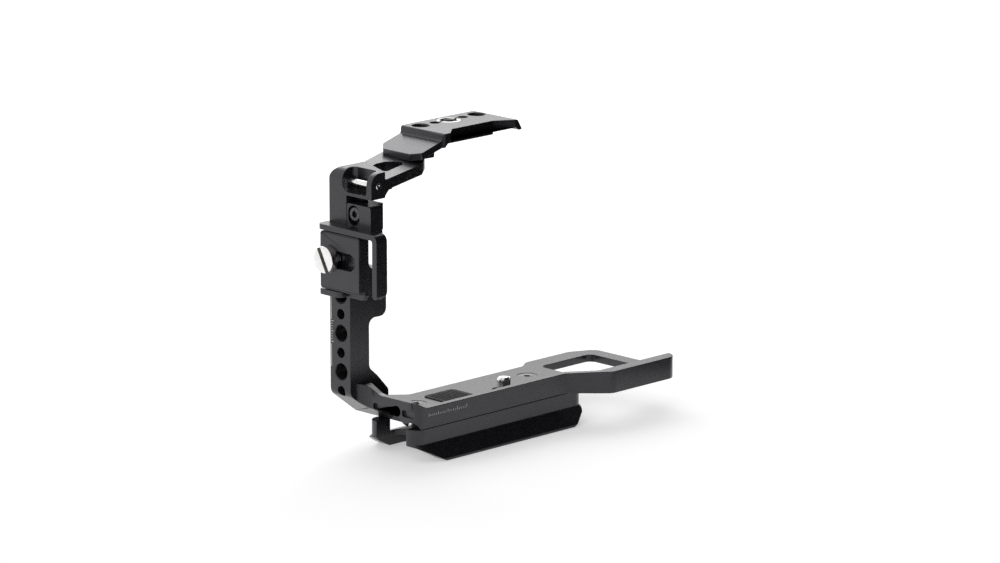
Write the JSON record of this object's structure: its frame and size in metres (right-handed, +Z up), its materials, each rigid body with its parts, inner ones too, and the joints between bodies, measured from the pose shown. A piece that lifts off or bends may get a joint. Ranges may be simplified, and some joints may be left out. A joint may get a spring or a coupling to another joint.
{
  "type": "camera cage",
  "caption": "Open camera cage: base with dovetail foot, side bar with threaded holes and a cable clamp, and an arm that carries a threaded top plate.",
  "frame": {"origin": "where the camera screw's axis meets the camera seat", "axes": "+X to the viewer's right (camera grip side), +Y to the lens, +Z up along the camera screw"},
  "size_m": [0.1466, 0.0616, 0.1169],
  "materials": {
    "black_anodised": "fine bead-blasted black anodising",
    "stainless_steel": "turned stainless steel",
    "black_oxide_steel": "black oxide, satin",
    "black_rubber": "matte"
  },
  "bodies": {
    "cage": {"cage_frame": "black_anodised", "top_plate": "black_anodised", "thread_insert": "stainless_steel", "strap_pin": "stainless_steel", "quick_release_plate": "black_anodised", "screw_retaining_ring": "black_oxide_steel", "cable_clamp_bracket": "black_anodised", "bracket_screw": "black_oxide_steel", "side_pad": "black_rubber", "seat_pad_left": "black_rubber", "seat_pad_right": "black_rubber", "plate_screw_1": "black_oxide_steel", "plate_screw_2": "black_oxide_steel", "plate_screw_3": "black_oxide_steel", "plate_screw_4": "black_oxide_steel", "plate_dowel_1": "stainless_steel", "plate_dowel_2": "stainless_steel", "top_plate_screw_1": "black_oxide_steel", "top_plate_screw_2": "black_oxide_steel"},
    "jaw": {"clamp_jaw": "black_anodised"},
    "thumbscrew_washer": {"thumbscrew_washer": "stainless_steel"},
    "thumbscrew": {"clamp_thumbscrew": "stainless_steel"},
    "camera_screw_washer": {"camera_screw_washer": "stainless_steel"},
    "camera_screw": {"camera_screw": "stainless_steel"}
  },
  "joints": [
    {"name": "jaw_slide", "type": "slide", "parent": "cage", "child": "jaw", "axis": [0, 1, 0], "range_m": [0, 0.01]},
    {"name": "thumbscrew_travel", "type": "slide", "parent": "cage", "child": "thumbscrew_washer", "axis": [-1, 0, 0], "range_m": [0, 0.00507]},
    {"name": "thumbscrew_turn", "type": "hinge", "parent": "thumbscrew_washer", "child": "thumbscrew", "pos_m": [-0.07, 0.0201, 0.0604], "axis": [-1, 0, 0], "range_deg": [0, 1440]},
    {"name": "camera_screw_travel", "type": "slide", "parent": "cage", "child": "camera_screw_washer", "axis": [0, 0, -1], "range_m": [0, 0.00507]},
    {"name": "camera_screw_turn", "type": "hinge", "parent": "camera_screw_washer", "child": "camera_screw", "pos_m": [0, 0, -0.007], "axis": [0, 0, -1], "range_deg": [0, 1440]}
  ],
  "couplings": [
    {"joint": "thumbscrew_turn", "follows": "thumbscrew_travel", "rad_per_m": 4947.4},
    {"joint": "camera_screw_turn", "follows": "camera_screw_travel", "rad_per_m": 4947.4}
  ]
}
